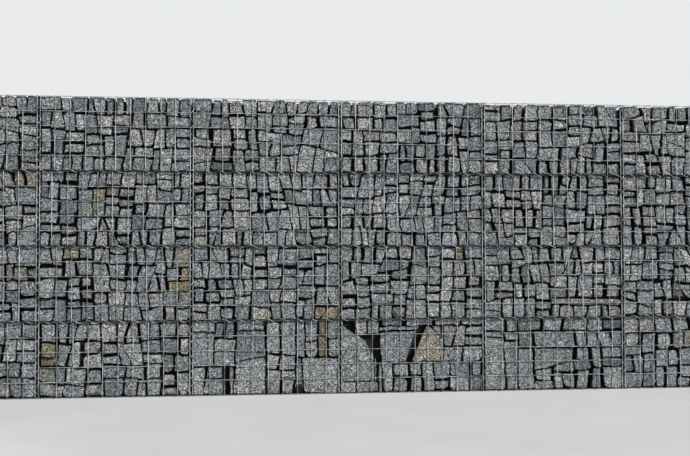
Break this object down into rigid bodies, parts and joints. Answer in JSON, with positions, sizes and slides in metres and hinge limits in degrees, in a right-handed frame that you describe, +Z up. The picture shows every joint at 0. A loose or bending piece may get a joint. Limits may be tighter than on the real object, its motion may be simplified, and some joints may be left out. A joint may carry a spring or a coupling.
{
  "type": "gabion wall",
  "caption": "Straight retaining wall of stacked wire-mesh baskets packed with rough blue-grey granite, laced with spiral binders",
  "frame": {"origin": "middle of the footprint, on the ground under the lowest mesh", "axes": "+X along the wall to the right as seen from the front, the front face looks along -Y, +Z up"},
  "size_m": [6.102, 1.0195, 2.0405],
  "materials": {
    "granite": "matte",
    "galvanised_mesh": "satin",
    "galvanised_binder": "satin"
  },
  "bodies": {
    "root": {"stone_fill_tier_1_bay_1": "granite", "stone_fill_tier_1_bay_2": "granite", "stone_fill_tier_1_bay_3": "granite", "stone_fill_tier_1_bay_4": "granite", "stone_fill_tier_1_bay_5": "granite", "stone_fill_tier_1_bay_6": "granite", "stone_fill_tier_2_bay_1": "granite", "stone_fill_tier_2_bay_2": "granite", "stone_fill_tier_2_bay_3": "granite", "stone_fill_tier_2_bay_4": "granite", "stone_fill_tier_2_bay_5": "granite", "stone_fill_tier_2_bay_6": "granite", "stone_fill_tier_3_bay_1": "granite", "stone_fill_tier_3_bay_2": "granite", "stone_fill_tier_3_bay_3": "granite", "stone_fill_tier_3_bay_4": "granite", "stone_fill_tier_3_bay_5": "granite", "stone_fill_tier_3_bay_6": "granite", "stone_fill_tier_4_bay_1": "granite", "stone_fill_tier_4_bay_2": "granite", "stone_fill_tier_4_bay_3": "granite", "stone_fill_tier_4_bay_4": "granite", "stone_fill_tier_4_bay_5": "granite", "stone_fill_tier_4_bay_6": "granite", "front_mesh_tier_1": "galvanised_mesh", "front_mesh_tier_2": "galvanised_mesh", "front_mesh_tier_3": "galvanised_mesh", "front_mesh_tier_4": "galvanised_mesh", "back_mesh_tier_1": "galvanised_mesh", "back_mesh_tier_2": "galvanised_mesh", "back_mesh_tier_3": "galvanised_mesh", "back_mesh_tier_4": "galvanised_mesh", "lid_mesh_tier_1": "galvanised_mesh", "lid_mesh_tier_2": "galvanised_mesh", "lid_mesh_tier_3": "galvanised_mesh", "lid_mesh_tier_4": "galvanised_mesh", "left_end_mesh": "galvanised_mesh", "right_end_mesh": "galvanised_mesh", "base_mesh": "galvanised_mesh", "diaphragm_meshes": "galvanised_mesh", "joint_binders": "galvanised_binder"}
  },
  "joints": []
}
